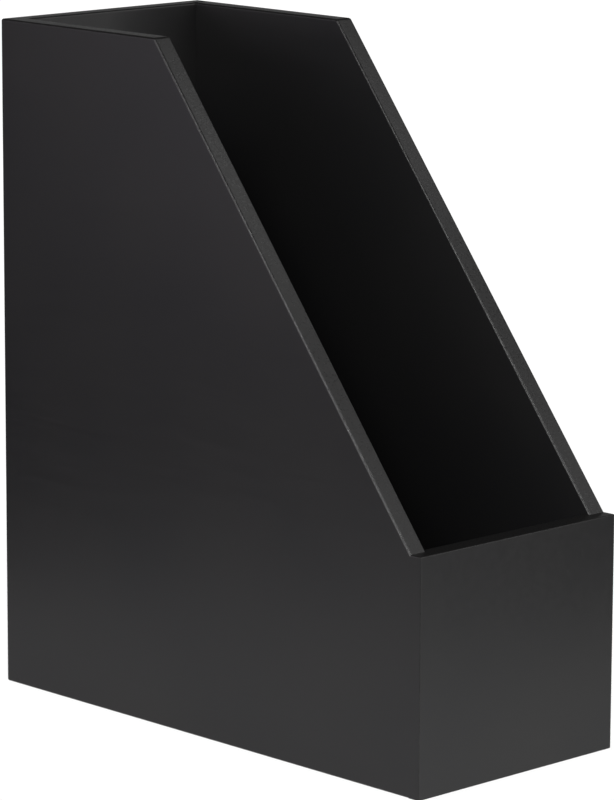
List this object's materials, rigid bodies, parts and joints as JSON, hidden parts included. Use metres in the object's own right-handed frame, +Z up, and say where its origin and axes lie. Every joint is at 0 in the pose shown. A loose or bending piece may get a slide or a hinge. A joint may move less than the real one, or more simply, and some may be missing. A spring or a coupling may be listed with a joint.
{
  "type": "magazine file holder",
  "caption": "Open upright file holder for magazines: low front, full-height back and two side panels cut to a long straight slope.",
  "frame": {"origin": "middle of the footprint, on the surface that the pads stand on", "axes": "+Z up; -Y towards the low front panel; +X to the right of someone who faces the front"},
  "size_m": [0.116, 0.26, 0.3],
  "materials": {
    "black_lacquer": "black satin lacquer on fibreboard",
    "brad_steel": "bright drawn wire",
    "wood_filler": "sanded two-part wood filler",
    "felt": "pressed wool felt"
  },
  "bodies": {
    "root": {"left_side_panel": "black_lacquer", "right_side_panel": "black_lacquer", "front_panel": "black_lacquer", "back_panel": "black_lacquer", "bottom_panel": "black_lacquer", "front_left_brads": "brad_steel", "front_right_brads": "brad_steel", "back_left_brads": "brad_steel", "back_right_brads": "brad_steel", "bottom_left_brads": "brad_steel", "bottom_right_brads": "brad_steel", "bottom_front_brads": "brad_steel", "bottom_back_brads": "brad_steel", "left_filler_dots": "wood_filler", "right_filler_dots": "wood_filler", "front_filler_dots": "wood_filler", "back_filler_dots": "wood_filler", "front_left_pad": "felt", "front_right_pad": "felt", "back_left_pad": "felt", "back_right_pad": "felt"}
  },
  "joints": []
}
